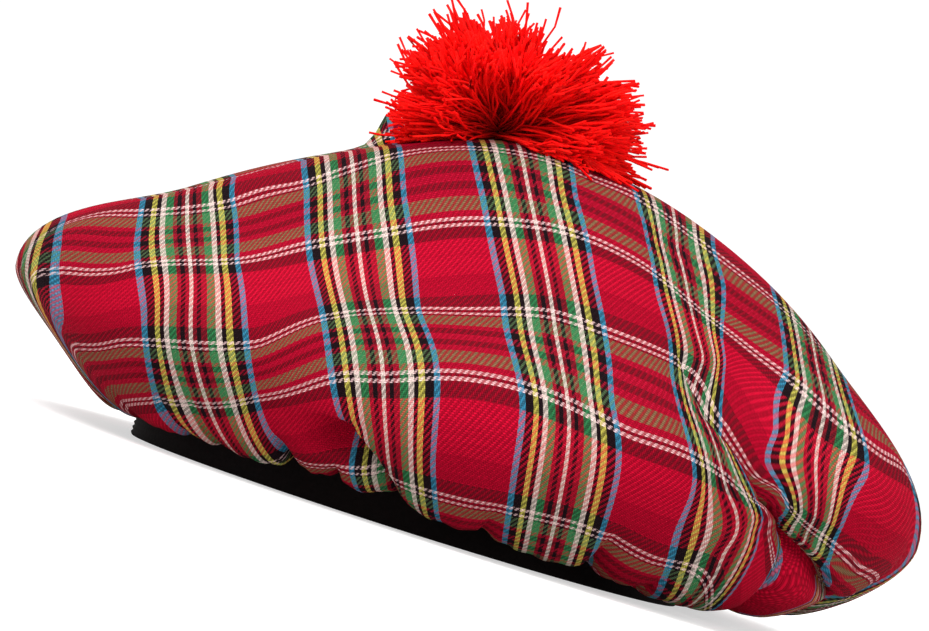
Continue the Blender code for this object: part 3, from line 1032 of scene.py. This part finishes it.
deselect_all()
bpy.ops.mesh.primitive_circle_add(vertices=YARN_SIDES, radius=1, fill_type="NOTHING")
pattern = bpy.context.object
bpy.ops.object.mode_set(mode="EDIT")
bpy.ops.mesh.select_all(action="SELECT")
for _ in range(PATH_POINTS - 1):
    bpy.ops.mesh.extrude_region_move(TRANSFORM_OT_translate={"value": (0, 0, 1)})
bpy.ops.mesh.edge_face_add()
bpy.ops.object.mode_set(mode="OBJECT")
pattern_points = np.array([v.co for v in pattern.data.vertices])
pattern_faces = [list(p.vertices) for p in pattern.data.polygons]
ring = np.rint(pattern_points[:, 2]).astype(int)
bpy.data.objects.remove(pattern)
print("points of one yarn", len(pattern_points))

# %% Lay a copy of it along every path
YARN_RADIUS = 0.38
THICKNESSES = (0.8, 1.15)
TAPER = ((0, 0.2, 0.8, 1), (0.9, 1, 1, 1.2))  # parts of the way along, and how thick the yarn is there
NOT_ALONG = np.array([0.3, 0.2, 0.1])  # keeps the sideways direction off the yarn's own

ahead = np.gradient(paths, axis=1)
ahead /= np.linalg.norm(ahead, axis=2)[..., None]
aside = np.cross(ahead, ways[:, None] + NOT_ALONG)
aside /= np.linalg.norm(aside, axis=2)[..., None]
above = np.cross(ahead, aside)
radius = YARN_RADIUS * dice.uniform(*THICKNESSES, YARNS)[:, None] * np.interp(part, *TAPER)
placed = (
    paths[:, ring]
    + (aside[:, ring] * pattern_points[None, :, :1] + above[:, ring] * pattern_points[None, :, 1:2])
    * radius[:, ring, None]
)
count = len(pattern_points)
faces = [[v + k * count for v in face] for k in range(YARNS) for face in pattern_faces]
pompom_mesh = bpy.data.meshes.new("yarn_pompom")
pompom_mesh.from_pydata((placed.reshape(-1, 3) * MM).tolist(), [], faces)
pompom = bpy.data.objects.new("yarn_pompom", pompom_mesh)
bpy.context.scene.collection.objects.link(pompom)

# %% Note each point's place along its yarn and each yarn's tone, and turn the faces outwards
along = pompom_mesh.attributes.new("along", "FLOAT", "POINT")
along.data.foreach_set("value", np.tile(part[ring], YARNS).astype(np.float32))
tone = pompom_mesh.attributes.new("tone", "FLOAT", "POINT")
tone.data.foreach_set("value", np.repeat(dice.uniform(0, 1, YARNS), count).astype(np.float32))
deselect_all()
pompom.select_set(True)
bpy.context.view_layer.objects.active = pompom
bpy.ops.object.mode_set(mode="EDIT")
bpy.ops.mesh.select_all(action="SELECT")
bpy.ops.mesh.normals_make_consistent(inside=False)
bpy.ops.object.mode_set(mode="OBJECT")
bpy.ops.object.shade_smooth()
print("pompom triangles", sum(len(p.vertices) - 2 for p in pompom_mesh.polygons))

# %% Material of the red yarn
YARN_DARK = (0.82, 0.002, 0.003, 1)
YARN_LIGHT = (1.0, 0.008, 0.005, 1)
# painted shade: the yarns are darkened towards their roots, down in the tie's hollow
PAINTED_ROOT_SHADE = (1.9, 0.02)  # factor and base of the shade along a yarn: it is full from the middle on
FUZZ_SCALE = 1500

yarn, y, shader = new_material("red yarn", roughness=0.85, specular=0.05)
shader.inputs["Subsurface Weight"].default_value = 0.4
shader.inputs["Subsurface Radius"].default_value = (1.0, 0.1, 0.1)
shader.inputs["Subsurface Scale"].default_value = 0.003
tone_here = y.add("ShaderNodeAttribute", attribute_name="tone").outputs["Fac"]
along_here = y.add("ShaderNodeAttribute", attribute_name="along").outputs["Fac"]
# painted shade: the yarn's colour darkens towards its root, down in the tie's hollow
shade = y.maths("MINIMUM", y.maths("MULTIPLY_ADD", along_here, *PAINTED_ROOT_SHADE), 1)
y.feed(shader.inputs["Base Color"], y.scale(y.mix(tone_here, YARN_DARK, YARN_LIGHT), shade))
y.feed(shader.inputs["Normal"], y.bump(y.speckle(FUZZ_SCALE), strength=0.5, distance=0.0003))
pompom.data.materials.append(yarn)
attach(pompom, "root")
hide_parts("pompom")
print("yarn nodes", len(yarn.node_tree.nodes))
